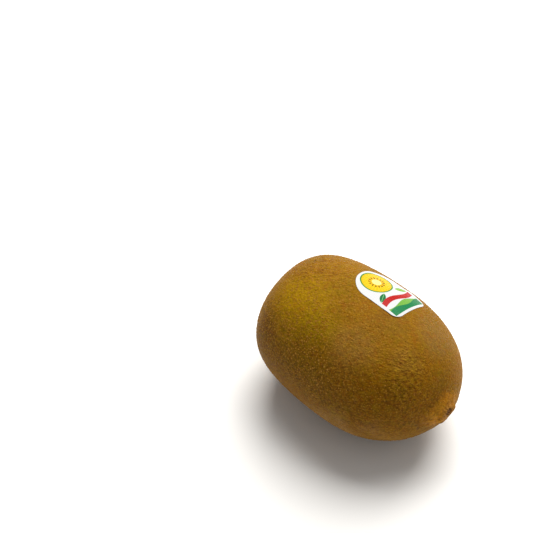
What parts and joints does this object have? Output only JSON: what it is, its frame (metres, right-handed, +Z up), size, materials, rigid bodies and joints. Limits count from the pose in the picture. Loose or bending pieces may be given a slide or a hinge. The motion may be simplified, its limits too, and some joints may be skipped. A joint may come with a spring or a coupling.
{
  "type": "golden kiwi fruit",
  "caption": "Whole golden kiwi fruit lying on its side: smooth bronze skin, low beak with withered styles, stalk scar and a plain produce label.",
  "frame": {"origin": "middle of the footprint, on the surface the fruit lies on", "axes": "+X along the fruit from the stem end to the blossom end, +Z up, the label on the +Y side of the top"},
  "size_m": [0.0783, 0.054, 0.0508],
  "materials": {
    "skin": "satin",
    "withered": "matte",
    "film": "satin"
  },
  "bodies": {
    "root": {"fruit": "skin", "style_remains": "withered", "label": "film"}
  },
  "joints": []
}
